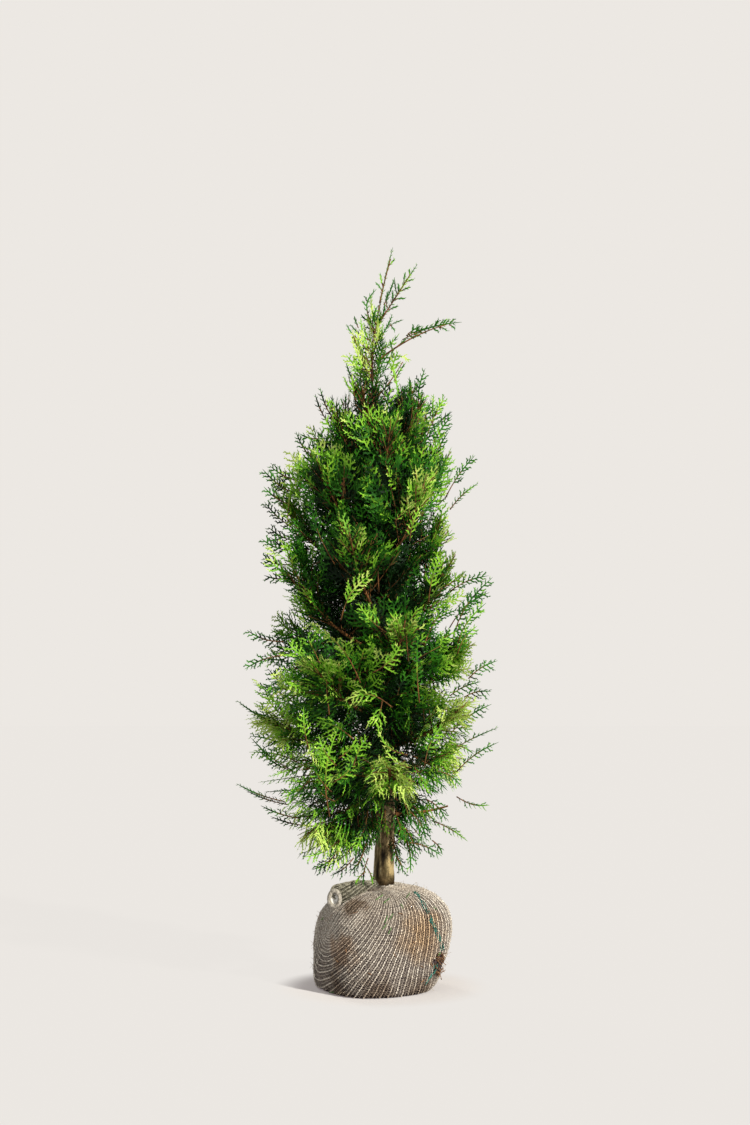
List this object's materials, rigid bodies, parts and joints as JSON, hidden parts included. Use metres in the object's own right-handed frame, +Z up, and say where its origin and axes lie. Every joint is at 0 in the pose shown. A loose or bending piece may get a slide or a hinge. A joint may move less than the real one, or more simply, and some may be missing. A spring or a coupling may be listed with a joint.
{
  "type": "root-balled western red cedar",
  "caption": "Young western red cedar with a full conical crown of flat sprays, standing on a root ball wrapped in knitted jute.",
  "frame": {"origin": "middle of the root ball's flat underside, on the ground", "axes": "+Z up the trunk, -Y towards the front of the tree, +X to its right seen from the front"},
  "size_m": [0.5417, 0.5612, 1.622],
  "materials": {
    "jute_wrap": "ribbed knitted jute, cream yarns over dark soil, stained and slightly frayed",
    "trunk_bark": "fissured stringy bark, olive-tan low down and red-brown above",
    "bough_bark": "smooth young red-brown bark",
    "foliage": "satin scale leaves, deep green inside to yellow-green at the tips"
  },
  "bodies": {
    "root": {"root_ball": "jute_wrap", "wrap_tail": "jute_wrap", "trunk": "trunk_bark", "skirt_1_foliage": "foliage", "skirt_2_foliage": "foliage", "skirt_3_foliage": "foliage", "skirt_4_foliage": "foliage", "skirt_5_foliage": "foliage", "low_1_bough": "bough_bark", "low_1_foliage": "foliage", "low_2_bough": "bough_bark", "low_2_foliage": "foliage", "low_3_bough": "bough_bark", "low_3_foliage": "foliage", "low_4_bough": "bough_bark", "low_4_foliage": "foliage", "low_5_bough": "bough_bark", "low_5_foliage": "foliage", "middle_1_bough": "bough_bark", "middle_1_foliage": "foliage", "middle_2_bough": "bough_bark", "middle_2_foliage": "foliage", "middle_3_bough": "bough_bark", "middle_3_foliage": "foliage", "middle_4_bough": "bough_bark", "middle_4_foliage": "foliage", "middle_5_bough": "bough_bark", "middle_5_foliage": "foliage", "middle_6_bough": "bough_bark", "middle_6_foliage": "foliage", "shoulder_1_bough": "bough_bark", "shoulder_1_foliage": "foliage", "shoulder_2_bough": "bough_bark", "shoulder_2_foliage": "foliage", "shoulder_3_bough": "bough_bark", "shoulder_3_foliage": "foliage", "shoulder_4_bough": "bough_bark", "shoulder_4_foliage": "foliage", "shoulder_5_bough": "bough_bark", "shoulder_5_foliage": "foliage", "shoulder_6_bough": "bough_bark", "shoulder_6_foliage": "foliage", "upper_1_bough": "bough_bark", "upper_1_foliage": "foliage", "upper_2_foliage": "foliage", "upper_3_foliage": "foliage", "upper_4_foliage": "foliage", "upper_5_foliage": "foliage", "upper_6_foliage": "foliage", "neck_1_foliage": "foliage", "neck_2_foliage": "foliage", "neck_3_foliage": "foliage", "neck_4_foliage": "foliage", "neck_5_foliage": "foliage", "neck_6_foliage": "foliage", "leader_tip_foliage": "foliage", "leader_second_foliage": "foliage", "leader_arm_foliage": "foliage", "leader_left_foliage": "foliage", "leader_right_foliage": "foliage"}
  },
  "joints": []
}
